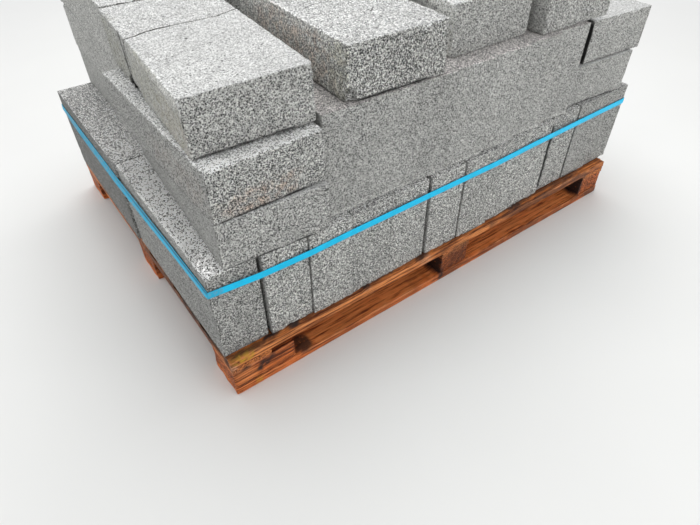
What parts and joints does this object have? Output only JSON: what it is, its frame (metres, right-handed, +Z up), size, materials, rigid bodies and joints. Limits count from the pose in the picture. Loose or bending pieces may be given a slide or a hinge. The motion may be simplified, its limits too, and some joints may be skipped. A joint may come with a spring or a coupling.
{
  "type": "pallet of concrete blocks",
  "caption": "Part-used pack of solid concrete blocks in staggered courses on a wooden block pallet, with a plastic strap round the lowest course.",
  "frame": {"origin": "on the ground, under the middle of the middle bottom board of the pallet", "axes": "+X along the long side of the pallet, -Y towards the long side that faces the viewer, +Z up"},
  "size_m": [1.2563, 0.9609, 0.634],
  "materials": {
    "concrete": "rough open-textured concrete, paler on the tops",
    "deck_wood": "wet rough-sawn softwood, reddish brown",
    "spacer_wood": "wet rough-sawn softwood, darker",
    "strap_plastic": "bright blue woven-look polypropylene strap",
    "seal_metal": "pressed galvanised steel"
  },
  "bodies": {
    "root": {"first_course_blocks": "concrete", "second_course_blocks_on_edge": "concrete", "second_course_lower_flat_blocks": "concrete", "second_course_upper_flat_blocks": "concrete", "top_course_front_blocks": "concrete", "top_course_back_blocks": "concrete", "broken_block_front_piece": "concrete", "broken_block_back_piece": "concrete", "top_course_near_back_block": "concrete", "deck_boards": "deck_wood", "cross_boards": "deck_wood", "spacer_blocks": "spacer_wood", "bottom_boards": "deck_wood", "strap": "strap_plastic", "strap_seal": "seal_metal"}
  },
  "joints": []
}
